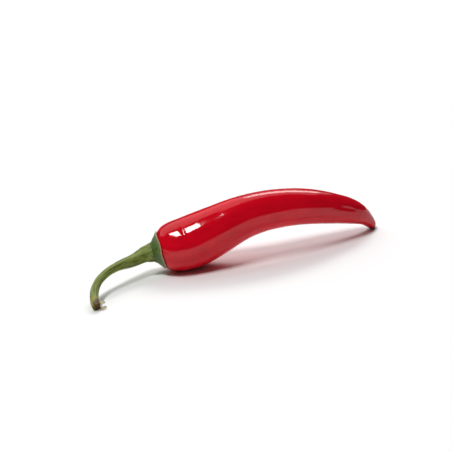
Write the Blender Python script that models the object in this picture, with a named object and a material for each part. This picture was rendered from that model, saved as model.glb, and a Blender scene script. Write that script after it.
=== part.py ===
"""A ripe red chilli pepper, picked with its stem and lying on a level surface.

The pod rests on the belly of its shoulder and on its beak-like tip, and arches a little over the
surface between them. The stem curves away from the pod and down, and its cut end is the third
point that rests. The origin is on the surface, in the middle of the pepper's footprint. +X runs
from the stem towards the tip, +Z is up. Knots below are in millimetres, and meshes are in metres.
"""

import math

import bmesh
import bpy
import numpy as np
from mathutils import Vector

MM = 0.001
GAP = 0.3  # clearance between neighbouring pieces, mm

# Centre line of the pod, from the rim of the calyx to the tip: (x, y, z)
POD_PATH = [
    (-33.5, 9.5, 11.3),
    (-28.6, 8.6, 11.9),
    (-21.6, 7.3, 12.55),
    (-9.6, 5.3, 15.6),
    (4.4, 2.7, 20.6),
    (19.9, 0.8, 22.7),
    (37.4, 0.4, 20.7),
    (54.4, 1.0, 15.7),
    (65.4, 2.2, 10.4),
    (70.6, 3.5, 5.9),
    (74.0, 5.2, 1.3),
]
# Outline of the pod: (distance along the centre line, radius)
POD_OUTLINE = [
    (-1.9, 0.0),
    (-1.5, 3.3),
    (-0.7, 6.1),
    (0.6, 8.4),
    (3.2, 10.7),
    (7.5, 12.1),
    (14.5, 12.75),
    (21.0, 12.6),
    (30.0, 11.8),
    (46.0, 10.2),
    (64.0, 9.3),
    (82.0, 8.2),
    (92.0, 7.2),
    (100.0, 6.1),
    (105.0, 5.0),
    (109.0, 3.8),
    (113.0, 2.8),
    (116.5, 1.8),
    (117.6, 0.9),
    (117.8, 0.0),
]
POD_SIDES = 36
POD_RINGS = 54
SHOULDER_LOBES = 3  # shallow lobes of the shoulder, one to a seed chamber
SHOULDER_LOBE_DEPTH = 0.018  # as a share of the radius
SHOULDER_LOBE_REACH = 45.0  # distance over which the lobes fade, mm

# Outline of the calyx, outside then inside: (distance along the pod's axis from the rim, radius)
CALYX_OUTSIDE = [(-3.5, 4.9), (-3.1, 5.05), (-2.0, 6.2), (-0.9, 7.45), (0.05, 8.8), (0.5, 9.4)]
CALYX_INSIDE = [(0.75, 9.3), (0.3, 8.62), (-0.35, 7.45), (-1.15, 5.9), (-1.85, 3.3)]
CALYX_FLOOR = -2.25  # where the inside meets the axis
CALYX_SIDES = 40
CALYX_TEETH = 5  # low teeth along the rim
CALYX_TOOTH_HEIGHT = 0.2
CALYX_TOOTH_START = -2.0  # the teeth grow from here to the rim

# Centre line of the stem, from where it has left the calyx to the cut end: (x, y, z)
STEM_PATH = [
    (-45.4, 9.3, 9.6),
    (-52.6, 6.3, 9.8),
    (-59.1, 2.9, 9.8),
    (-65.1, -0.9, 8.7),
    (-69.6, -5.5, 7.0),
    (-72.4, -11.3, 4.5),
    (-73.7, -19.1, 1.85),
]
STEM_START_RUN = 3.0  # the stem leaves the calyx square to its top over this distance, mm
# Outline of the stem: (distance along its centre line, radius)
STEM_OUTLINE = [
    (0.0, 4.7),
    (2.0, 4.2),
    (5.5, 3.5),
    (9.0, 3.1),
    (13.0, 2.8),
    (18.0, 2.35),
    (24.0, 2.05),
    (31.0, 1.9),
    (38.0, 1.9),
    (44.0, 2.0),
    (48.5, 2.1),
    (51.5, 2.05),
    (53.0, 1.85),
]
STEM_SIDES = 30
STEM_RINGS = 32
STEM_RIDGES = 5
STEM_RIDGE_DEPTH = 0.05  # as a share of the radius

# Slivers of dried skin at the cut end: (name, x, y, z of the root, heading, pitch, curl) in degrees
FLAKES = [
    ("dry_flake_upper", -71.2, -17.7, 2.6, 4.0, 18.0, -50.0),
    ("dry_flake_lower", -71.6, -18.8, 0.35, -4.0, 3.0, 14.0),
]
FLAKE_LENGTH = 3.2
FLAKE_WIDTH = 1.9
FLAKE_THICKNESS = 0.3
FLAKE_STEPS = 6

# Colours (linear RGB), roughness
SKIN_RED = (0.50, 0.004, 0.012), 0.12
CALYX_GREEN = (0.075, 0.13, 0.055), 0.45
STEM_GREEN = (0.13, 0.21, 0.025), 0.42
DRY_TAN = (0.42, 0.32, 0.17), 0.8


def clear_scene():
    for old in list(bpy.data.objects):
        bpy.data.objects.remove(old, do_unlink=True)


def plain_material(name, colour, roughness):
    material = bpy.data.materials.new(name)
    material.use_nodes = True
    shader = material.node_tree.nodes["Principled BSDF"]
    shader.inputs["Base Color"].default_value = (*colour, 1.0)
    shader.inputs["Roughness"].default_value = roughness
    shader.inputs["Metallic"].default_value = 0.0
    return material


def smooth_curve(knots, count):
    """Even steps along the natural cubic spline through the knots, in the knots' own columns."""
    knots = np.array(knots, dtype=float)
    gaps = np.linalg.norm(np.diff(knots, axis=0), axis=1)
    at = np.concatenate([[0.0], np.cumsum(gaps)])
    last = len(at) - 1
    system = np.eye(last + 1)
    turning = np.zeros_like(knots)
    for i in range(1, last):
        system[i, i - 1 : i + 2] = gaps[i - 1], 2.0 * (gaps[i - 1] + gaps[i]), gaps[i]
        slope_after = (knots[i + 1] - knots[i]) / gaps[i]
        slope_before = (knots[i] - knots[i - 1]) / gaps[i - 1]
        turning[i] = 6.0 * (slope_after - slope_before)
    second = np.linalg.solve(system, turning)

    where = np.linspace(0.0, at[-1], count)
    left = np.clip(np.searchsorted(at, where, side="right") - 1, 0, last - 1)
    gap = gaps[left][:, None]
    from_left = (where - at[left])[:, None]
    from_right = gap - from_left
    straight = (knots[left] * from_right + knots[left + 1] * from_left) / gap
    bow_left = second[left] * (from_right**3 / gap - gap * from_right) / 6.0
    bow_right = second[left + 1] * (from_left**3 / gap - gap * from_left) / 6.0
    return straight + bow_left + bow_right


class Path:
    """A smooth centre line that gives a point and a steady pair of side vectors at a distance."""

    def __init__(self, knots, up=(0.0, 0.0, 1.0), samples=400):
        self.points = smooth_curve(knots, samples)
        steps = np.diff(self.points, axis=0)
        lengths = np.linalg.norm(steps, axis=1)
        self.along = np.concatenate([[0.0], np.cumsum(lengths)])
        ahead = steps / lengths[:, None]
        self.ahead = np.vstack([ahead[:1], (ahead[1:] + ahead[:-1]) / 2.0, ahead[-1:]])
        self.side = np.zeros_like(self.points)
        side = np.cross(self.ahead[0], np.array(up))
        for i, direction in enumerate(self.ahead):
            side = side - direction * (side @ direction)
            side = side / np.linalg.norm(side)
            self.side[i] = side

    def length(self):
        return self.along[-1]

    def frame(self, distance):
        """Centre, forward, side and top vectors, straight on past both ends."""
        held = min(max(distance, 0.0), self.length())
        pick = [np.interp(held, self.along, column) for column in self.points.T]
        ahead = np.array([np.interp(held, self.along, column) for column in self.ahead.T])
        ahead = ahead / np.linalg.norm(ahead)
        side = np.array([np.interp(held, self.along, column) for column in self.side.T])
        side = side - ahead * (side @ ahead)
        side = side / np.linalg.norm(side)
        centre = np.array(pick) + ahead * (distance - held)
        return centre, ahead, side, np.cross(side, ahead)


def skin(bm, rings, start, end):
    """Closes a list of rings into a solid. start and end are a pole's vertex, or None for a cap."""
    sides = len(rings[0])
    for ring, after in zip(rings, rings[1:]):
        for i in range(sides):
            j = (i + 1) % sides
            bm.faces.new((ring[i], ring[j], after[j], after[i]))
    for ring, pole in ((rings[0], start), (rings[-1], end)):
        if pole is None:
            bm.faces.new(ring)
            continue
        for i in range(sides):
            bm.faces.new((ring[i], ring[(i + 1) % sides], pole))
    bmesh.ops.recalc_face_normals(bm, faces=bm.faces)


def make_object(name, bm, material, sharp_degrees=40.0):
    mesh = bpy.data.meshes.new(name)
    bm.to_mesh(mesh)
    bm.free()
    mesh.materials.append(material)
    mesh.shade_smooth()
    mesh.set_sharp_from_angle(angle=math.radians(sharp_degrees))
    piece = bpy.data.objects.new(name, mesh)
    bpy.context.scene.collection.objects.link(piece)
    return piece


def sweep(name, path, outline, sides, relief, material, poles):
    """Rings of the outline's radius along a path. The object's origin is the path's first point.

    relief(distance, angle) is a factor on the radius. With poles, the outline's first and last
    points are single vertices on the centre line, or else both ends are flat faces.
    """
    origin = path.frame(0.0)[0]
    bm = bmesh.new()
    rings = []
    ends = [None, None]
    inner = outline
    if poles:
        inner = outline[1:-1]
        for k, pole in enumerate((outline[0], outline[-1])):
            ends[k] = bm.verts.new((path.frame(pole[0])[0] - origin) * MM)
    for distance, radius in inner:
        centre, _, side, top = path.frame(distance)
        ring = []
        for i in range(sides):
            angle = 2.0 * math.pi * i / sides
            out = side * math.cos(angle) + top * math.sin(angle)
            point = centre + out * radius * relief(distance, angle) - origin
            ring.append(bm.verts.new(point * MM))
        rings.append(ring)
    skin(bm, rings, ends[0], ends[1])
    piece = make_object(name, bm, material)
    piece.location = Vector(origin * MM)
    return piece


def shoulder_relief(distance, angle):
    fade = math.exp(-((max(distance, 0.0) / SHOULDER_LOBE_REACH) ** 2))
    under_calyx = min(max((distance - 1.0) / 6.0, 0.0), 1.0)
    depth = SHOULDER_LOBE_DEPTH * fade * under_calyx
    return 1.0 + depth * math.cos(SHOULDER_LOBES * angle + 0.6)


def stem_relief(distance, angle):
    return 1.0 + STEM_RIDGE_DEPTH * math.cos(STEM_RIDGES * angle)


def build_pod(path):
    outline = smooth_curve(POD_OUTLINE, POD_RINGS)
    outline[0, 1] = 0.0
    outline[-1, 1] = 0.0
    material = plain_material("skin_red", *SKIN_RED)
    return sweep("pod", path, outline, POD_SIDES, shoulder_relief, material, poles=True)


def build_calyx(pod_path):
    """A shallow trumpet over the pod's base, turned on its own Z axis and then laid along the pod."""
    bm = bmesh.new()
    rings = []
    for along, radius in CALYX_OUTSIDE + CALYX_INSIDE:
        growth = min(max((along - CALYX_TOOTH_START) / -CALYX_TOOTH_START, 0.0), 1.0)
        ring = []
        for i in range(CALYX_SIDES):
            angle = 2.0 * math.pi * i / CALYX_SIDES
            tooth = CALYX_TOOTH_HEIGHT * growth * math.cos(CALYX_TEETH * angle)
            reach = (radius + tooth) * MM
            point = (reach * math.cos(angle), reach * math.sin(angle), (along + tooth) * MM)
            ring.append(bm.verts.new(point))
        rings.append(ring)
    top = bm.verts.new((0.0, 0.0, CALYX_OUTSIDE[0][0] * MM))
    floor = bm.verts.new((0.0, 0.0, CALYX_FLOOR * MM))
    skin(bm, rings, top, floor)
    piece = make_object("calyx", bm, plain_material("calyx_green", *CALYX_GREEN))
    centre, ahead, _, _ = pod_path.frame(0.0)
    piece.location = Vector(centre * MM)
    piece.rotation_mode = "QUATERNION"
    piece.rotation_quaternion = Vector(ahead).to_track_quat("Z", "Y")
    return piece


def build_stem(pod_path):
    """The stem starts on the calyx's axis, a gap away from its top."""
    top = CALYX_OUTSIDE[0][0] - GAP
    runs = (0.0, STEM_START_RUN / 2.0, STEM_START_RUN)
    start = [tuple(pod_path.frame(top - run)[0]) for run in runs]
    path = Path(start + STEM_PATH)
    outline = smooth_curve(STEM_OUTLINE, STEM_RINGS)
    outline[:, 0] *= path.length() / outline[-1, 0]
    material = plain_material("stem_green", *STEM_GREEN)
    return sweep("stem", path, outline, STEM_SIDES, stem_relief, material, poles=False)


def build_flake(name, root, heading, pitch, curl, material):
    """A thin curled strip that tapers to a blunt point. It lies along its own +X from its root."""
    bm = bmesh.new()
    sections = []
    x = 0.0
    z = 0.0
    for step in range(FLAKE_STEPS + 1):
        share = step / FLAKE_STEPS
        slope = math.radians(curl) * share
        half = FLAKE_WIDTH / 2.0 * math.sqrt(1.0 - 0.8 * share**2)
        thick = FLAKE_THICKNESS * (1.0 - 0.3 * share)
        lift = Vector((-math.sin(slope), 0.0, math.cos(slope))) * thick
        corners = []
        for y, up in ((-half, 0.0), (half, 0.0), (half, 1.0), (-half, 1.0)):
            corners.append(bm.verts.new((Vector((x, y, z)) + lift * up) * MM))
        sections.append(corners)
        x += FLAKE_LENGTH / FLAKE_STEPS * math.cos(slope)
        z += FLAKE_LENGTH / FLAKE_STEPS * math.sin(slope)
    skin(bm, sections, None, None)
    piece = make_object(name, bm, material)
    piece.location = Vector(root) * MM
    piece.rotation_euler = (0.0, -math.radians(pitch), math.radians(heading))
    return piece


def main():
    clear_scene()
    pepper = bpy.data.objects.new("chilli_pepper", None)
    bpy.context.scene.collection.objects.link(pepper)
    pod_path = Path(POD_PATH)
    pieces = [build_pod(pod_path), build_calyx(pod_path), build_stem(pod_path)]
    dry = plain_material("dry_tan", *DRY_TAN)
    for name, x, y, z, heading, pitch, curl in FLAKES:
        pieces.append(build_flake(name, (x, y, z), heading, pitch, curl, dry))
    for piece in pieces:
        piece.parent = pepper


main()
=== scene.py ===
"""The look of a ripe red chilli pepper, lying on a pale surface under soft studio light.

Each grown piece is a fine mesh swept along the same centre line as its CAD node, with the lobes,
dents, wrinkles and ribs of the real thing. Lengths are in millimetres until a mesh is made.
"""

import math

import bmesh
import bpy
import numpy as np
from mathutils import Euler, Matrix, Vector, noise


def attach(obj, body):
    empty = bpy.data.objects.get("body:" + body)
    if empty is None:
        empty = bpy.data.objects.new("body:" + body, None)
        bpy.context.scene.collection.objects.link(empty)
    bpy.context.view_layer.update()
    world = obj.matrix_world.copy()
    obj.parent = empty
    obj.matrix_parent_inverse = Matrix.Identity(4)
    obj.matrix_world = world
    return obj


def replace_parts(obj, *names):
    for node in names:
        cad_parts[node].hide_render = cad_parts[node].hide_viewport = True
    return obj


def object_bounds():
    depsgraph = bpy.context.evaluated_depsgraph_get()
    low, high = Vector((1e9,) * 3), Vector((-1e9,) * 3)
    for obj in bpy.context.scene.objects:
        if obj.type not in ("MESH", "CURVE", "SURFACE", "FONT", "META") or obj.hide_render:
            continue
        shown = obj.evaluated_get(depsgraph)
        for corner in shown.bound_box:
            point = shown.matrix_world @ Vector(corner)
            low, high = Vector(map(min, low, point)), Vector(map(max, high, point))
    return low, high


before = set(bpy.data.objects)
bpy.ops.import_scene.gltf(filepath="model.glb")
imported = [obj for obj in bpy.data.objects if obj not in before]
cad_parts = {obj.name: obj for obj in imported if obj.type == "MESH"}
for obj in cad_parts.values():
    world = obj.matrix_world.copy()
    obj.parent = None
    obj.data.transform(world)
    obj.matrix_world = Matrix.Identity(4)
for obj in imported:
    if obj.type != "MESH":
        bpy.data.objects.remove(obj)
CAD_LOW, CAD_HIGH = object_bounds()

MM = 0.001
GAP = 0.3  # clearance between neighbouring pieces

# Centre line of the pod, from the rim of the calyx to the tip: (x, y, z)
POD_PATH = [
    (-33.5, 9.5, 11.3),
    (-28.6, 8.6, 11.9),
    (-21.6, 7.3, 12.55),
    (-9.6, 5.3, 15.6),
    (4.4, 2.7, 20.6),
    (19.9, 0.8, 22.7),
    (37.4, 0.4, 20.7),
    (54.4, 1.0, 15.7),
    (65.4, 2.2, 10.4),
    (70.6, 3.5, 5.9),
    (74.0, 5.2, 1.3),
]
# Outline of the pod: (distance along the centre line, radius)
POD_OUTLINE = [
    (-1.9, 0.0),
    (-1.5, 3.3),
    (-0.7, 6.1),
    (0.6, 8.4),
    (3.2, 10.7),
    (7.5, 12.1),
    (14.5, 12.75),
    (21.0, 12.6),
    (30.0, 11.8),
    (46.0, 10.2),
    (64.0, 9.3),
    (82.0, 8.2),
    (92.0, 7.2),
    (100.0, 6.1),
    (105.0, 5.0),
    (109.0, 3.8),
    (113.0, 2.8),
    (116.5, 1.8),
    (117.6, 0.9),
    (117.8, 0.0),
]
POD_LENGTH = POD_OUTLINE[-1][0]
POD_SIDES = 168
POD_RINGS = 300
POD_SKIN_FREE = (0.6, 3.5)  # the skin's relief comes in here, clear of the calyx
POD_TIP_PLAIN = 112.0  # and goes out from here to the end
POD_DRY_TIP = (113.5, 117.2)
# Shallow lobes, strongest at the shoulder
POD_LOBES = 3
POD_LOBE_DEPTH = 0.018  # share of the radius
POD_LOBE_TURN = 0.6  # in radians
POD_LOBE_REACH = 45.0
POD_LOBE_START = 1.0
POD_LOBE_RISE = 6.0
# Uneven skin, all along and then towards the tip: (height, size, seed, share of the distance)
POD_RIPPLES = [(0.16, 19.0, 3.1, 1.0), (0.035, 6.5, 7.7, 1.0), (0.030, 2.6, 1.3, 0.22)]
POD_WRINKLES = [(0.07, 4.2, 5.5, 0.7), (0.05, 2.2, 9.1, 1.0)]
POD_WRINKLED = (70.0, 92.0)
# Dents and swellings of the skin: (distance, angle, reach along, reach round in degrees, height)
POD_MARKS = [
    (24.0, 52.0, 7.0, 34.0, 0.30),
    (33.0, 57.0, 2.6, 9.0, -0.07),
    (37.5, 50.0, 3.0, 7.0, 0.06),
    (41.0, 70.0, 5.0, 14.0, -0.10),
    (84.5, 5.0, 0.8, 5.0, -0.10),
    (93.5, 20.0, 4.8, 9.0, -0.42),
    (101.8, 13.0, 1.0, 9.0, -0.20),
    (104.6, 12.0, 1.1, 10.0, -0.22),
    (100.5, -4.0, 4.5, 8.0, -0.26),
    (55.0, 180.0, 9.0, 25.0, -0.20),
    (28.0, 215.0, 8.0, 22.0, -0.18),
    (70.0, -80.0, 7.0, 20.0, -0.12),
]
# Sharp pinches of the skin, as in POD_MARKS
POD_PINCHES = [
    (13.2, 54.0, 1.3, 20.0, -0.24),
    (24.6, 56.0, 0.7, 7.0, -0.045),
    (26.4, 58.0, 0.6, 7.0, -0.04),
    (28.0, 60.0, 0.6, 7.0, -0.035),
    (34.5, 62.0, 1.1, 9.0, -0.05),
]
# Small knobs of the tip: (distance, angle, reach, height)
TIP_KNOBS = [(114.0, 20.0, 1.3, 0.22), (111.0, -60.0, 1.4, 0.16), (116.2, 150.0, 1.0, 0.14)]
KNOB_MIN_RADIUS = 0.8  # keeps a knob from wrapping round the very end

# Outline of the calyx, outside then inside: (distance along the pod's axis from the rim, radius)
CALYX_OUTSIDE = [(-3.5, 4.9), (-3.1, 5.05), (-2.0, 6.2), (-0.9, 7.45), (0.05, 8.8), (0.5, 9.4)]
CALYX_INSIDE = [(0.75, 9.3), (0.3, 8.62), (-0.35, 7.45), (-1.15, 5.9), (-1.85, 3.3)]
CALYX_RIM = (0.66, 9.42)
CALYX_FLOOR = -2.25
CALYX_SIDES = 200
CALYX_OUTSIDE_RINGS = 44
CALYX_INSIDE_RINGS = 30
CALYX_TEETH = 5
CALYX_TOOTH_HEIGHT = 0.2
CALYX_TOOTH_START = -2.0
CALYX_RAG_HEIGHT = 0.10  # unevenness of the rim
CALYX_RAG_RADIUS = 9.0
CALYX_RIB_HEIGHT = 0.06
CALYX_BUMP_HEIGHT = 0.05
CALYX_BUMPS_END = (-3.0, -1.0)
CALYX_RELIEF_START = (-3.5, -3.2)
CALYX_RELIEF_END = (-0.4, 0.4)
CALYX_DRY_RIM = (0.15, 0.5)

# Centre line of the stem, from where it has left the calyx to the cut end: (x, y, z)
STEM_PATH = [
    (-45.4, 9.3, 9.6),
    (-52.6, 6.3, 9.8),
    (-59.1, 2.9, 9.8),
    (-65.1, -0.9, 8.7),
    (-69.6, -5.5, 7.0),
    (-72.4, -11.3, 4.5),
    (-73.7, -19.1, 1.85),
]
STEM_START_RUN = 3.0
STEM_ROOT = 0.6  # the stem starts this far back, across the gap and into the calyx
STEM_ROOT_SHARES = (0.35, 0.7, 0.96)  # rings that close the root, as shares of its radius
# Rings of the cut end: (share of the radius, depth)
STEM_CUT = ((0.93, 0.12), (0.8, 0.3), (0.6, 0.42), (0.4, 0.36), (0.2, 0.3))
STEM_CUT_CENTRE = 0.3
STEM_CUT_ROUGHNESS = 0.9
# Outline of the stem: (distance along its centre line, radius)
STEM_OUTLINE = [
    (0.0, 4.7),
    (2.0, 4.2),
    (5.5, 3.5),
    (9.0, 3.1),
    (13.0, 2.8),
    (18.0, 2.35),
    (24.0, 2.05),
    (31.0, 1.9),
    (38.0, 1.9),
    (44.0, 2.0),
    (48.5, 2.1),
    (51.5, 2.05),
    (53.0, 1.85),
]
STEM_SIDES = 120
STEM_RINGS = 260
STEM_RIDGES = 5
STEM_RIDGE_DEPTH = 0.05
STEM_RIDGE_DRIFT = 0.35  # the ridges wander round the stem
STEM_DRIFT_LENGTH = 11.0
STEM_DRIFT_SHARE = 0.4
STEM_DRIFT_RISE = (3.0, 12.0)
STEM_SKIN_FREE = (0.2, 1.2)
STEM_FLARE = (3.0, 9.0)  # the rougher skin of the flare fades out here
STEM_DRY = (5.0, 0.6)  # the drying starts and is full at these distances from the cut end
STEM_SHRINK = 0.06
STEM_AGED = (8.0, 0.4)  # the colour's ageing, likewise

# Slivers of dried skin: (name, x, y, z of the root, heading, pitch, curl, roll), in mm and degrees
FLAKES = [
    ("dry_flake_upper", -71.9, -17.9, 2.6, 4.0, 18.0, -60.0, 42.0),
    ("dry_flake_lower", -72.3, -18.9, 0.55, -4.0, 3.0, 14.0, 22.0),
]
FLAKE_LENGTH = 3.2
FLAKE_WIDTH = 1.9
FLAKE_THICKNESS = 0.3
FLAKE_STEPS = 34
FLAKE_ACROSS = 16
FLAKE_NARROWING = 0.8
FLAKE_THINNING = 0.3
FLAKE_TEAR = 0.16  # how far the torn edge cuts in, as a share of the width
FLAKE_EDGE = 0.7  # how much thinner the edges are than the middle
FLAKE_CREASE = 0.07
FLAKE_SEED = 1.7

# Camera, from the middle of the object's box
CAMERA_AZIMUTH = -16.0
CAMERA_ELEVATION = 20.0
CAMERA_ROLL = 7.0
CAMERA_DISTANCE = 0.9
CAMERA_LENS = 149.3
CAMERA_SENSOR = 36.0
CAMERA_AIM = (0.0, 0.17, 0.03)  # shift of the aim, as shares of the box's sides

# Soft boxes: (name, radiance, backward, sideways, span across, span back, distance in metres).
# Backward is from straight above towards +Y, sideways is towards +X, and angles are in degrees.
SOFT_BOXES = [
    ("key_box", 34.0, -9.0, -18.2, 7.4, 20.0, 4.0),
    ("strip_box", 6.0, 41.0, 24.0, 32.0, 14.0, 4.5),
    ("ceiling_box", 0.9, 37.0, 0.0, 88.0, 50.0, 5.0),
]
FLOOR_HALF = 30.0  # in metres
FLOOR_COLOUR = (0.96, 0.96, 0.96, 1.0)
WORLD_COLOUR = (0.03, 0.03, 0.03, 1.0)
EXPOSURE = 0.25


# ---- curves and meshes -------------------------------------------------------------------


def smooth_curve(knots, count):
    """Even steps along the natural cubic spline through the knots, in the knots' own columns."""
    knots = np.array(knots, dtype=float)
    gaps = np.linalg.norm(np.diff(knots, axis=0), axis=1)
    at = np.concatenate([[0.0], np.cumsum(gaps)])
    last = len(at) - 1
    system = np.eye(last + 1)
    turning = np.zeros_like(knots)
    for i in range(1, last):
        system[i, i - 1 : i + 2] = gaps[i - 1], 2.0 * (gaps[i - 1] + gaps[i]), gaps[i]
        slope_after = (knots[i + 1] - knots[i]) / gaps[i]
        slope_before = (knots[i] - knots[i - 1]) / gaps[i - 1]
        turning[i] = 6.0 * (slope_after - slope_before)
    second = np.linalg.solve(system, turning)

    where = np.linspace(0.0, at[-1], count)
    left = np.clip(np.searchsorted(at, where, side="right") - 1, 0, last - 1)
    gap = gaps[left][:, None]
    from_left = (where - at[left])[:, None]
    from_right = gap - from_left
    straight = (knots[left] * from_right + knots[left + 1] * from_left) / gap
    bow_left = second[left] * (from_right**3 / gap - gap * from_right) / 6.0
    bow_right = second[left + 1] * (from_left**3 / gap - gap * from_left) / 6.0
    return straight + bow_left + bow_right


class Path:
    """A smooth centre line that gives a point and a steady pair of side vectors at a distance."""

    def __init__(self, knots, up=(0.0, 0.0, 1.0), samples=400):
        self.points = smooth_curve(knots, samples)
        steps = np.diff(self.points, axis=0)
        lengths = np.linalg.norm(steps, axis=1)
        self.along = np.concatenate([[0.0], np.cumsum(lengths)])
        ahead = steps / lengths[:, None]
        self.ahead = np.vstack([ahead[:1], (ahead[1:] + ahead[:-1]) / 2.0, ahead[-1:]])
        self.side = np.zeros_like(self.points)
        side = np.cross(self.ahead[0], np.array(up))
        for i, direction in enumerate(self.ahead):
            side = side - direction * (side @ direction)
            side = side / np.linalg.norm(side)
            self.side[i] = side

    def length(self):
        return self.along[-1]

    def frame(self, distance):
        """Centre, forward, side and top vectors, straight on past both ends."""
        held = min(max(distance, 0.0), self.length())
        pick = [np.interp(held, self.along, column) for column in self.points.T]
        ahead = np.array([np.interp(held, self.along, column) for column in self.ahead.T])
        ahead = ahead / np.linalg.norm(ahead)
        side = np.array([np.interp(held, self.along, column) for column in self.side.T])
        side = side - ahead * (side @ ahead)
        side = side / np.linalg.norm(side)
        centre = np.array(pick) + ahead * (distance - held)
        return centre, ahead, side, np.cross(side, ahead)


def waves(point, size, seed=0.0):
    """Smooth noise from -1 to 1 whose bumps are about size millimetres across."""
    return noise.noise(Vector(point) / size + Vector((seed, 2.0 * seed, -seed)))


def skin_waves(distance, angle, radius, size, seed, share):
    """Waves on a swept piece's skin. A low share of the distance draws them out lengthwise."""
    place = (radius * math.cos(angle), radius * math.sin(angle), distance * share)
    return waves(place, size, seed)


def turn_between(angle, centre):
    """Degrees from centre to an angle in radians, from -180 to 180."""
    return (math.degrees(angle) - centre + 180.0) % 360.0 - 180.0


def mound(distance, angle, mark):
    """Height of one smooth dent or swelling at a place of the skin."""
    at, centre, along, around, height = mark
    turn = turn_between(angle, centre)
    return height * math.exp(-(((distance - at) / along) ** 2) - (turn / around) ** 2)


def pinch(distance, angle, mark):
    """Height of one pinch, which comes to a crease at its middle."""
    at, centre, along, around, height = mark
    turn = turn_between(angle, centre)
    return height * math.exp(-abs(distance - at) / along - (turn / around) ** 2)


def step_up(value, start, end):
    """0 before start, 1 after end, and smooth in between."""
    share = min(max((value - start) / (end - start), 0.0), 1.0)
    return share * share * (3.0 - 2.0 * share)


def finish_mesh(name, bm, unbent, mark, material):
    """Makes the object. unbent is each vertex's place on the piece before it bends, in mm."""
    bmesh.ops.recalc_face_normals(bm, faces=bm.faces)
    mesh = bpy.data.meshes.new(name)
    bm.to_mesh(mesh)
    bm.free()
    mesh.shade_smooth()
    mesh.materials.append(material)
    place = mesh.attributes.new("unbent", "FLOAT_VECTOR", "POINT")
    place.data.foreach_set("vector", np.array(unbent, dtype=np.float32).ravel())
    spot = mesh.attributes.new("mark", "FLOAT", "POINT")
    spot.data.foreach_set("value", np.array(mark, dtype=np.float32))
    piece = bpy.data.objects.new(name, mesh)
    bpy.context.scene.collection.objects.link(piece)
    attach(piece, "root")
    return piece


def join_rings(bm, rings, start, end):
    """Quads between rings, with a pole's vertex at each end."""
    sides = len(rings[0])
    for ring, after in zip(rings, rings[1:]):
        for i in range(sides):
            j = (i + 1) % sides
            bm.faces.new((ring[i], ring[j], after[j], after[i]))
    for ring, pole in ((rings[0], start), (rings[-1], end)):
        for i in range(sides):
            bm.faces.new((ring[i], ring[(i + 1) % sides], pole))


# ---- pod ---------------------------------------------------------------------------------


def pod_relief(distance, angle, radius):
    """How far the pod's skin stands out from its plain outline, in millimetres."""
    fade = math.exp(-((max(distance, 0.0) / POD_LOBE_REACH) ** 2))
    past_calyx = min(max((distance - POD_LOBE_START) / POD_LOBE_RISE, 0.0), 1.0)
    lobe_wave = math.cos(POD_LOBES * angle + POD_LOBE_TURN)
    lobes = radius * POD_LOBE_DEPTH * fade * past_calyx * lobe_wave
    before_tip = 1.0 - step_up(distance, POD_TIP_PLAIN, POD_LENGTH)
    free = step_up(distance, *POD_SKIN_FREE) * before_tip
    wrinkled = step_up(distance, *POD_WRINKLED)
    height = 0.0
    for strength, layers in ((1.0, POD_RIPPLES), (wrinkled, POD_WRINKLES)):
        for tall, size, seed, share in layers:
            height += strength * tall * skin_waves(distance, angle, radius, size, seed, share)
    for mark in POD_MARKS:
        height += mound(distance, angle, mark)
    for mark in POD_PINCHES:
        height += pinch(distance, angle, mark)
    total = lobes + height * free
    for at, centre, reach, knob in TIP_KNOBS:
        around = math.degrees(reach / max(radius, KNOB_MIN_RADIUS))
        total += mound(distance, angle, (at, centre, reach, around, knob))
    return total


def build_pod(path, material):
    """The whole fruit, closed at both ends."""
    outline = smooth_curve(POD_OUTLINE, POD_RINGS)
    bm = bmesh.new()
    unbent = []
    mark = []
    rings = []
    for distance, radius in outline[1:-1]:
        centre, _, side, top = path.frame(distance)
        ring = []
        for i in range(POD_SIDES):
            angle = 2.0 * math.pi * i / POD_SIDES
            out = side * math.cos(angle) + top * math.sin(angle)
            reach = radius + pod_relief(distance, angle, radius)
            ring.append(bm.verts.new((centre + out * reach) * MM))
            unbent.append((reach * math.cos(angle), reach * math.sin(angle), distance))
            mark.append(step_up(distance, *POD_DRY_TIP))
        rings.append(ring)
    ends = []
    for distance, spot in ((outline[0, 0], 0.0), (outline[-1, 0], 1.0)):
        ends.append(bm.verts.new(path.frame(distance)[0] * MM))
        unbent.append((0.0, 0.0, distance))
        mark.append(spot)
    join_rings(bm, rings, *ends)
    return finish_mesh("pod_skin", bm, unbent, mark, material)


# ---- calyx -------------------------------------------------------------------------------


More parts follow.
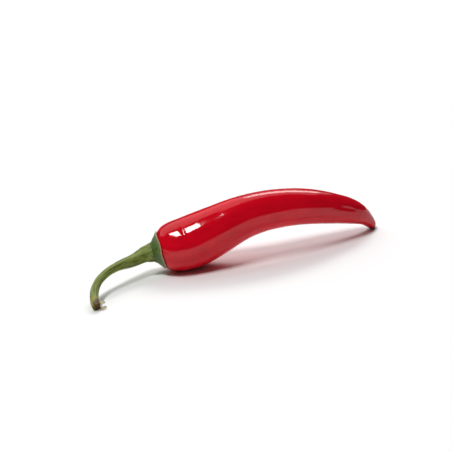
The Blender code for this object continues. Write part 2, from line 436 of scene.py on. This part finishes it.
def build_calyx(pod_path, material):
    """A shallow trumpet with radial ribs and a thin uneven rim."""
    outside = smooth_curve(CALYX_OUTSIDE, CALYX_OUTSIDE_RINGS)
    inside = smooth_curve(CALYX_INSIDE, CALYX_INSIDE_RINGS)
    profile = [(*p, 1.0) for p in outside] + [(*CALYX_RIM, 1.0)] + [(*p, 0.0) for p in inside]
    centre, ahead, _, _ = pod_path.frame(0.0)
    turn = Vector(ahead).to_track_quat("Z", "Y")
    bm = bmesh.new()
    unbent = []
    mark = []
    rings = []

    def place(radius, angle, along):
        local = Vector((radius * math.cos(angle), radius * math.sin(angle), along))
        unbent.append(tuple(local))
        return (Vector(centre) + turn @ local) * MM

    for along, radius, outer in profile:
        growth = min(max((along - CALYX_TOOTH_START) / -CALYX_TOOTH_START, 0.0), 1.0)
        ring = []
        for i in range(CALYX_SIDES):
            angle = 2.0 * math.pi * i / CALYX_SIDES
            tooth = CALYX_TOOTH_HEIGHT * growth * math.cos(CALYX_TEETH * angle)
            rag = skin_waves(0.0, angle, CALYX_RAG_RADIUS, 1.6, 4.4, 1.0)
            tooth += growth * CALYX_RAG_HEIGHT * rag
            ribs = CALYX_RIB_HEIGHT * skin_waves(along, angle, radius, 1.3, 2.2, 0.3)
            bumps = CALYX_BUMP_HEIGHT * skin_waves(along, angle, radius, 0.8, 6.6, 1.0)
            bumps *= 1.0 - step_up(along, *CALYX_BUMPS_END)
            thin = 1.0 - step_up(along, *CALYX_RELIEF_END)
            lift = outer * (ribs + bumps) * thin * step_up(along, *CALYX_RELIEF_START)
            spot = place(radius + tooth + lift, angle, along + tooth - 0.5 * lift)
            ring.append(bm.verts.new(spot))
            mark.append(step_up(along, *CALYX_DRY_RIM))
        rings.append(ring)
    ends = [bm.verts.new(place(0.0, 0.0, along)) for along in (CALYX_OUTSIDE[0][0], CALYX_FLOOR)]
    mark += [0.0, 0.0]
    join_rings(bm, rings, *ends)
    return finish_mesh("calyx_cap", bm, unbent, mark, material)


# ---- stem --------------------------------------------------------------------------------


def stem_relief(distance, angle, radius, length):
    """Ridges, grooves and fine ribs of the stem, in millimetres."""
    drift = STEM_RIDGE_DRIFT * math.sin(distance / STEM_DRIFT_LENGTH)
    drift *= step_up(distance, *STEM_DRIFT_RISE)
    ridge = math.cos(STEM_RIDGES * (angle + drift * STEM_DRIFT_SHARE))
    free = step_up(distance, *STEM_SKIN_FREE)
    flare = 1.0 - step_up(distance, *STEM_FLARE)
    dry = step_up(distance, length - STEM_DRY[0], length - STEM_DRY[1])
    # (strength, height, size, seed, share of the distance)
    layers = (
        (free, 0.10, 0.8, 3.3, 0.10),
        (free, 0.05, 0.45, 8.8, 0.3),
        (free * flare, 0.12, 0.8, 1.9, 1.0),
        (dry, 0.16, 0.7, 5.1, 0.8),
    )
    total = radius * STEM_RIDGE_DEPTH * ridge
    for strength, tall, size, seed, share in layers:
        total += strength * tall * skin_waves(distance, angle, radius, size, seed, share)
    return total - dry * STEM_SHRINK


def build_stem(pod_path, material):
    """The stalk, from its root in the calyx to its rough cut end."""
    top = CALYX_OUTSIDE[0][0] - GAP
    runs = (0.0, STEM_START_RUN / 2.0, STEM_START_RUN)
    start = [tuple(pod_path.frame(top - run)[0]) for run in runs]
    path = Path(start + STEM_PATH)
    length = path.length()
    outline = smooth_curve(STEM_OUTLINE, STEM_RINGS)
    outline[:, 0] *= length / outline[-1, 0]
    bm = bmesh.new()
    unbent = []
    mark = []
    rings = []

    def add_ring(distance, radius, share, sunk):
        """share shrinks the ring towards the axis, and sunk moves it back, for the cut end."""
        centre, ahead, side, top_way = path.frame(distance)
        ring = []
        for i in range(STEM_SIDES):
            angle = 2.0 * math.pi * i / STEM_SIDES
            out = side * math.cos(angle) + top_way * math.sin(angle)
            reach = (radius + stem_relief(distance, angle, radius, length)) * share
            rough = skin_waves(0.0, angle, reach, 0.7, 2.7, 1.0)
            back = sunk * (1.0 + STEM_CUT_ROUGHNESS * rough)
            ring.append(bm.verts.new((centre + out * reach - ahead * back) * MM))
            unbent.append((reach * math.cos(angle), reach * math.sin(angle), distance))
            aged = step_up(distance - back, length - STEM_AGED[0], length - STEM_AGED[1])
            mark.append(aged)
        rings.append(ring)

    for share in STEM_ROOT_SHARES:
        add_ring(-STEM_ROOT, outline[0, 1], share, 0.0)
    for distance, radius in outline:
        add_ring(distance, radius, 1.0, 0.0)
    for share, sunk in STEM_CUT:
        add_ring(length, outline[-1, 1], share, sunk)
    ends = []
    for distance, back, spot in ((-STEM_ROOT, 0.0, 0.0), (length, STEM_CUT_CENTRE, 1.0)):
        centre, ahead, _, _ = path.frame(distance)
        ends.append(bm.verts.new((centre - ahead * back) * MM))
        unbent.append((0.0, 0.0, distance))
        mark.append(spot)
    join_rings(bm, rings, *ends)
    return finish_mesh("stem_green", bm, unbent, mark, material)


# ---- slivers of dried skin ---------------------------------------------------------------


def build_flake(name, root, heading, pitch, curl, roll, seed, material):
    """A thin curled strip with a torn edge. It lies along its own +X from its root."""
    turn = Euler([math.radians(a) for a in (roll, -pitch, heading)]).to_matrix()
    bm = bmesh.new()
    unbent = []
    mark = []
    rings = []
    x = 0.0
    z = 0.0

    def add(local):
        unbent.append(tuple(local))
        mark.append(min(max(local[0] / FLAKE_LENGTH, 0.0), 1.0))
        return bm.verts.new((Vector(root) + turn @ Vector(local)) * MM)

    for step in range(FLAKE_STEPS + 1):
        share = step / FLAKE_STEPS
        slope = math.radians(curl) * share
        half = FLAKE_WIDTH / 2.0 * math.sqrt(1.0 - FLAKE_NARROWING * share**2)
        thick = FLAKE_THICKNESS * (1.0 - FLAKE_THINNING * share)
        ring = []
        for side, top in ((1.0, 0.0), (-1.0, 1.0)):
            for k in range(FLAKE_ACROSS):
                across = side * (2.0 * k / (FLAKE_ACROSS - 1) - 1.0)
                torn = 1.0 - FLAKE_TEAR * abs(waves((x, across * 0.6, 0.0), 0.45, seed))
                edge = 1.0 - FLAKE_EDGE * abs(across) ** 4
                crease = FLAKE_CREASE * waves((x, across, 0.0), 0.6, seed + 2.0)
                level = thick * (0.5 + (top - 0.5) * edge) + crease * (1.0 - 0.3 * top)
                y = across * half * torn
                ring.append(add((x - math.sin(slope) * level, y, z + math.cos(slope) * level)))
        rings.append(ring)
        x += FLAKE_LENGTH / FLAKE_STEPS * math.cos(slope)
        z += FLAKE_LENGTH / FLAKE_STEPS * math.sin(slope)
    middle = 0.5 * FLAKE_THICKNESS
    ends = [add((0.0, 0.0, middle)), add((x, 0.0, z + 0.5 * middle))]
    join_rings(bm, rings, *ends)
    return finish_mesh(name + "_skin", bm, unbent, mark, material)


# ---- materials ---------------------------------------------------------------------------


class Look:
    """A material with its Principled shader and short ways to add nodes."""

    def __init__(self, name, **constants):
        self.material = bpy.data.materials.new(name)
        self.material.use_nodes = True
        self.tree = self.material.node_tree
        self.shader = self.tree.nodes["Principled BSDF"]
        for socket, value in constants.items():
            self.shader.inputs[socket.replace("_", " ")].default_value = value
        self.unbent = self.attribute("unbent", "Vector")
        self.mark = self.attribute("mark", "Fac")

    def link(self, source, target):
        self.tree.links.new(source, target)

    def add(self, kind, links=None, **values):
        node = self.tree.nodes.new(kind)
        for key, value in values.items():
            setattr(node, key, value)
        for socket, source in (links or {}).items():
            target = node.inputs[socket]
            if isinstance(source, bpy.types.NodeSocket):
                self.link(source, target)
            else:
                target.default_value = source
        return node

    def attribute(self, name, output):
        node = self.add("ShaderNodeAttribute", attribute_name=name)
        return node.outputs[output]

    def stretched(self, scale):
        links = {"Vector": self.unbent, "Scale": scale}
        return self.add("ShaderNodeMapping", links).outputs["Vector"]

    def noise(self, vector, scale, detail=3.0, roughness=0.55, distortion=0.0):
        links = {
            "Vector": vector,
            "Scale": scale,
            "Detail": detail,
            "Roughness": roughness,
            "Distortion": distortion,
        }
        return self.add("ShaderNodeTexNoise", links).outputs["Fac"]

    def specks(self, vector, scale):
        links = {"Vector": vector, "Scale": scale}
        return self.add("ShaderNodeTexVoronoi", links).outputs["Distance"]

    def ramp(self, source, low, high, to_low=0.0, to_high=1.0):
        """source from low to high becomes to_low to to_high, held past both ends."""
        links = {
            "Value": source,
            "From Min": low,
            "From Max": high,
            "To Min": to_low,
            "To Max": to_high,
        }
        return self.add("ShaderNodeMapRange", links, clamp=True).outputs["Result"]

    def maths(self, operation, first, second):
        node = self.add("ShaderNodeMath", {0: first, 1: second}, operation=operation)
        return node.outputs["Value"]

    def mix(self, share, first, second):
        node = self.add("ShaderNodeMix", data_type="RGBA")
        for index, value in ((0, share), (6, first), (7, second)):
            if isinstance(value, bpy.types.NodeSocket):
                self.link(value, node.inputs[index])
            elif index == 0:
                node.inputs[index].default_value = value
            else:
                node.inputs[index].default_value = (*value, 1.0)
        return node.outputs[2]

    def bump(self, height, strength, distance, below=None):
        links = {"Height": height, "Strength": strength, "Distance": distance}
        node = self.add("ShaderNodeBump", links)
        if below is not None:
            self.link(below, node.inputs["Normal"])
        return node.outputs["Normal"]

    def output(self, colour, roughness, normal):
        sockets = (("Base Color", colour), ("Roughness", roughness), ("Normal", normal))
        for socket, source in sockets:
            self.link(source, self.shader.inputs[socket])
        return self.material


def pod_material():
    """Waxy red skin: clouds of deeper red, faint lengthwise streaks, a few pale pores, painted shade
    next to the calyx, a dry tip.
    """
    look = Look("waxy_red_skin", IOR=1.43)
    clouds = look.noise(look.unbent, 0.07, 4.0, 0.6, 0.4)
    streaks = look.noise(look.stretched((1.0, 1.0, 0.05)), 1.1, 4.0, 0.6)
    along = look.add("ShaderNodeSeparateXYZ", {"Vector": look.unbent}).outputs["Z"]
    colour = look.mix(look.ramp(clouds, 0.35, 0.68), (0.76, 0.002, 0.015), (0.61, 0.0009, 0.011))
    deeper = look.ramp(along, 40.0, 105.0, 0.0, 0.65)
    colour = look.mix(deeper, colour, (0.48, 0.0006, 0.010))
    colour = look.mix(look.ramp(streaks, 0.56, 0.78, 0.0, 0.35), colour, (0.44, 0.0008, 0.008))
    colour = look.mix(look.ramp(streaks, 0.30, 0.42, 0.22, 0.0), colour, (0.84, 0.010, 0.014))
    # Painted shade: the skin just below the calyx rim is darkened, as if the cap shaded it.
    near_calyx = look.ramp(along, 2.2, 0.7)
    painted_calyx_shade = look.maths("MULTIPLY", near_calyx, look.ramp(clouds, 0.3, 0.6, 0.4, 1.0))
    colour = look.mix(look.maths("MULTIPLY", painted_calyx_shade, 0.6), colour, (0.16, 0.004, 0.003))
    pores = look.specks(look.unbent, 0.85)
    pore_spots = look.ramp(pores, 0.10, 0.03)
    pale = look.maths("MULTIPLY", pore_spots, look.ramp(clouds, 0.5, 0.62, 0.0, 0.28))
    colour = look.mix(pale, colour, (0.78, 0.16, 0.08))
    flecks = look.ramp(look.noise(look.unbent, 1.6, 5.0, 0.7), 0.66, 0.74)
    dry = look.maths("MULTIPLY", look.mark, look.ramp(flecks, 0.0, 1.0, 0.55, 1.0))
    colour = look.mix(dry, colour, (0.10, 0.028, 0.012))
    roughness = look.ramp(look.noise(look.unbent, 0.35, 4.0, 0.6), 0.3, 0.75, 0.05, 0.11)
    roughness = look.maths("ADD", roughness, look.maths("MULTIPLY", look.mark, 0.3))
    fine = look.bump(look.noise(look.unbent, 5.0, 2.0), 0.05, 0.00004)
    lines = look.bump(streaks, 0.10, 0.0002, fine)
    return look.output(colour, roughness, lines)


def calyx_material():
    """Grey-green cap with radial veins, a bloom towards the rim and a thin dry tan edge."""
    look = Look("calyx_bloom_green", IOR=1.45)
    parts = look.add("ShaderNodeSeparateXYZ", {"Vector": look.unbent})
    along = parts.outputs["Z"]
    turn = look.maths("ARCTAN2", parts.outputs["Y"], parts.outputs["X"])
    round_way = look.add("ShaderNodeCombineXYZ", {"X": look.maths("SINE", turn, 0.0)})
    look.link(look.maths("COSINE", turn, 0.0), round_way.inputs["Y"])
    look.link(look.maths("MULTIPLY", along, 0.09), round_way.inputs["Z"])
    veins = look.noise(round_way.outputs["Vector"], 9.0, 5.0, 0.65)
    blotch = look.noise(look.unbent, 0.55, 4.0, 0.6)
    bloom = look.ramp(along, -1.9, 0.3)
    colour = look.mix(look.ramp(blotch, 0.35, 0.65), (0.040, 0.082, 0.008), (0.085, 0.15, 0.020))
    colour = look.mix(look.maths("MULTIPLY", bloom, 0.75), colour, (0.145, 0.20, 0.060))
    colour = look.mix(look.ramp(veins, 0.52, 0.70, 0.0, 0.65), colour, (0.22, 0.32, 0.10))
    colour = look.mix(look.ramp(veins, 0.32, 0.46, 0.65, 0.0), colour, (0.028, 0.055, 0.008))
    flecks = look.ramp(look.specks(look.unbent, 1.9), 0.22, 0.08, 0.0, 0.5)
    near_stem = look.maths("MULTIPLY", flecks, look.ramp(along, -0.8, -3.0))
    colour = look.mix(near_stem, colour, (0.36, 0.45, 0.17))
    colour = look.mix(look.mark, colour, (0.56, 0.42, 0.26))
    roughness = look.ramp(blotch, 0.3, 0.7, 0.38, 0.58)
    ribs = look.bump(veins, 0.5, 0.0004)
    grain = look.bump(look.noise(look.unbent, 4.0, 4.0, 0.7), 0.35, 0.0002, ribs)
    return look.output(colour, roughness, grain)


def stem_material():
    """Olive stem with pale ribs and dark grooves, partly its own streaky colour and partly painted
    highlight on the ribs and painted shade in the grooves; it turns yellow and then brown at the
    cut.
    """
    look = Look("stem_ribbed_green", IOR=1.45)
    parts = look.add("ShaderNodeSeparateXYZ", {"Vector": look.unbent})
    along = parts.outputs["Z"]
    ribs = look.noise(look.stretched((1.0, 1.0, 0.035)), 1.15, 5.0, 0.6)
    fibres = look.noise(look.stretched((1.0, 1.0, 0.10)), 3.2, 4.0, 0.65)
    blotch = look.noise(look.unbent, 0.35, 4.0, 0.6)
    colour = look.mix(look.ramp(blotch, 0.32, 0.66), (0.150, 0.190, 0.012), (0.215, 0.270, 0.030))
    # Pale ribs and dark grooves follow the bumped relief: partly the stem's own colour, partly
    # painted highlight on the ribs and painted shade in the grooves.
    colour = look.mix(look.ramp(ribs, 0.51, 0.58, 0.0, 0.75), colour, (0.25, 0.33, 0.06))
    colour = look.mix(look.ramp(ribs, 0.41, 0.485, 0.8, 0.0), colour, (0.062, 0.085, 0.005))
    colour = look.mix(look.ramp(fibres, 0.56, 0.66, 0.0, 0.6), colour, (0.41, 0.48, 0.17))
    near_calyx = look.ramp(along, 7.0, 1.5)
    flecks = look.ramp(look.specks(look.unbent, 1.7), 0.24, 0.08)
    flare = look.maths("MULTIPLY", near_calyx, flecks)
    colour = look.mix(look.maths("MULTIPLY", flare, 0.55), colour, (0.42, 0.50, 0.20))
    age = look.maths("ADD", look.mark, look.ramp(blotch, 0.3, 0.7, -0.09, 0.09))
    colour = look.mix(look.ramp(age, 0.02, 0.25, 0.0, 0.85), colour, (0.30, 0.29, 0.035))
    scar = look.maths("ADD", age, look.ramp(parts.outputs["X"], -1.6, 1.6, 0.22, -0.36))
    colour = look.mix(look.ramp(scar, 0.62, 0.86), colour, (0.105, 0.045, 0.006))
    frayed = look.ramp(fibres, 0.55, 0.68, 0.0, 0.7)
    husk = look.maths("MULTIPLY", frayed, look.ramp(age, 0.4, 0.6))
    colour = look.mix(husk, colour, (0.36, 0.30, 0.08))
    roughness = look.ramp(fibres, 0.3, 0.7, 0.34, 0.55)
    deep = look.bump(ribs, 0.7, 0.0012)
    fine = look.bump(fibres, 0.5, 0.0003, deep)
    return look.output(colour, roughness, fine)


def dry_material():
    """Papery dried skin: pale tan with darker fibres and a grey-green curled end."""
    look = Look("papery_dry_skin", IOR=1.4)
    fibres = look.noise(look.stretched((0.25, 1.0, 1.0)), 2.6, 5.0, 0.65)
    blotch = look.noise(look.unbent, 0.9, 4.0, 0.6)
    colour = look.mix(look.ramp(blotch, 0.35, 0.65), (0.74, 0.64, 0.48), (0.58, 0.48, 0.31))
    colour = look.mix(look.ramp(fibres, 0.54, 0.70, 0.0, 0.7), colour, (0.22, 0.15, 0.07))
    end = look.maths("ADD", look.mark, look.ramp(blotch, 0.3, 0.7, -0.15, 0.15))
    colour = look.mix(look.ramp(end, 0.62, 0.85, 0.0, 0.8), colour, (0.19, 0.19, 0.075))
    root = look.ramp(end, 0.22, 0.05)
    colour = look.mix(root, colour, (0.10, 0.055, 0.015))
    roughness = look.ramp(fibres, 0.3, 0.7, 0.65, 0.9)
    normal = look.bump(fibres, 0.6, 0.0003)
    return look.output(colour, roughness, normal)


# ---- studio ------------------------------------------------------------------------------


def build_floor():
    """A pale matt floor, wide enough to reach the horizon in the pod's reflections."""
    bm = bmesh.new()
    corners = ((-1.0, -1.0), (1.0, -1.0), (1.0, 1.0), (-1.0, 1.0))
    bm.faces.new([bm.verts.new((x * FLOOR_HALF, y * FLOOR_HALF, 0.0)) for x, y in corners])
    mesh = bpy.data.meshes.new("studio_floor")
    bm.to_mesh(mesh)
    bm.free()
    material = bpy.data.materials.new("floor_pale_matt")
    material.use_nodes = True
    shader = material.node_tree.nodes["Principled BSDF"]
    shader.inputs["Base Color"].default_value = FLOOR_COLOUR
    shader.inputs["Roughness"].default_value = 0.9
    shader.inputs["Specular IOR Level"].default_value = 0.1
    mesh.materials.append(material)
    floor = bpy.data.objects.new("studio_floor", mesh)
    bpy.context.scene.collection.objects.link(floor)


def add_soft_box(centre, name, radiance, backward, sideways, across, deep, distance):
    """A rectangular light that faces the object from a direction, with a width along X."""
    back = math.radians(backward)
    side = math.radians(sideways)
    flat = math.cos(side)
    to_light = Vector((math.sin(side), flat * math.sin(back), flat * math.cos(back)))
    x_axis = (Vector((1.0, 0.0, 0.0)) - to_light * to_light.x).normalized()
    y_axis = to_light.cross(x_axis)
    data = bpy.data.lights.new(name, "AREA")
    data.shape = "RECTANGLE"
    data.size = 2.0 * distance * math.tan(math.radians(across / 2.0))
    data.size_y = 2.0 * distance * math.tan(math.radians(deep / 2.0))
    data.energy = radiance * math.pi * data.size * data.size_y
    light = bpy.data.objects.new(name, data)
    light.location = centre + to_light * distance
    light.rotation_mode = "QUATERNION"
    turn = Matrix((x_axis, y_axis, to_light)).transposed()
    light.rotation_quaternion = turn.to_quaternion()
    bpy.context.scene.collection.objects.link(light)


def build_lights(centre):
    for box in SOFT_BOXES:
        add_soft_box(centre, *box)
    world = bpy.data.worlds.new("studio_dark")
    world.use_nodes = True
    world.node_tree.nodes["Background"].inputs["Color"].default_value = WORLD_COLOUR
    bpy.context.scene.world = world


def build_camera(centre, size):
    azimuth = math.radians(CAMERA_AZIMUTH)
    elevation = math.radians(CAMERA_ELEVATION)
    aim = centre + Vector([share * side for share, side in zip(CAMERA_AIM, size)])
    flat = math.cos(elevation)
    back = Vector((math.sin(azimuth) * flat, -math.cos(azimuth) * flat, math.sin(elevation)))
    data = bpy.data.cameras.new("camera")
    data.lens = CAMERA_LENS
    data.sensor_width = CAMERA_SENSOR
    data.clip_start = 0.05
    data.clip_end = 100.0
    camera = bpy.data.objects.new("camera", data)
    camera.location = aim + back * CAMERA_DISTANCE
    turn = Euler((math.pi / 2.0 - elevation, 0.0, azimuth)).to_quaternion()
    roll = Euler((0.0, 0.0, -math.radians(CAMERA_ROLL))).to_quaternion()
    camera.rotation_mode = "QUATERNION"
    camera.rotation_quaternion = turn @ roll
    bpy.context.scene.collection.objects.link(camera)
    bpy.context.scene.camera = camera


pod_line = Path(POD_PATH)
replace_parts(build_pod(pod_line, pod_material()), "pod")
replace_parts(build_calyx(pod_line, calyx_material()), "calyx")
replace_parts(build_stem(pod_line, stem_material()), "stem")
dry_skin = dry_material()
for index, (name, x, y, z, heading, pitch, curl, roll) in enumerate(FLAKES):
    seed = FLAKE_SEED + index
    flake = build_flake(name, (x, y, z), heading, pitch, curl, roll, seed, dry_skin)
    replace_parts(flake, name)

middle = (CAD_LOW + CAD_HIGH) / 2.0
build_floor()
build_lights(middle)
build_camera(middle, CAD_HIGH - CAD_LOW)
bpy.context.scene.view_settings.view_transform = "Standard"
bpy.context.scene.view_settings.exposure = EXPOSURE
